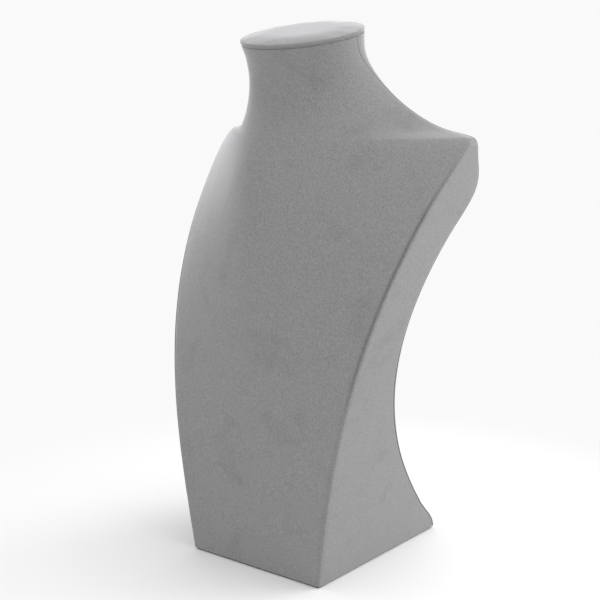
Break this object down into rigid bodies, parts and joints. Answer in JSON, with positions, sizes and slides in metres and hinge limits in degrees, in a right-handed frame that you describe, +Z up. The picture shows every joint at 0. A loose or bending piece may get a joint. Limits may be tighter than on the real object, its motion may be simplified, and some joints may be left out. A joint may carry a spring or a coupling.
{
  "type": "necklace stand",
  "caption": "Velvet-covered neck-and-shoulders display bust that shows a necklace on a shop counter or in a window.",
  "frame": {"origin": "middle of the foot, on the surface that the bust stands on", "axes": "+Z up along the bust, -Y towards the front of the chest, +X towards the right shoulder as seen from the front"},
  "size_m": [0.197, 0.1381, 0.3481],
  "materials": {
    "grey_velvet": "short-pile velvet, matt, brighter at grazing angles",
    "moulded_core": "moulded resin, matt, hidden under the velvet",
    "black_felt": "thin pressed felt",
    "grey_board": "solid grey board, hidden in the cap",
    "white_foam": "soft foam, hidden in the cap"
  },
  "bodies": {
    "root": {"bust_core": "moulded_core", "front_cover": "grey_velvet", "side_cover_right": "grey_velvet", "side_cover_left": "grey_velvet", "back_cover": "grey_velvet", "base_pad": "black_felt", "cap_board": "grey_board", "cap_padding": "white_foam", "cap_cover": "grey_velvet"}
  },
  "joints": []
}
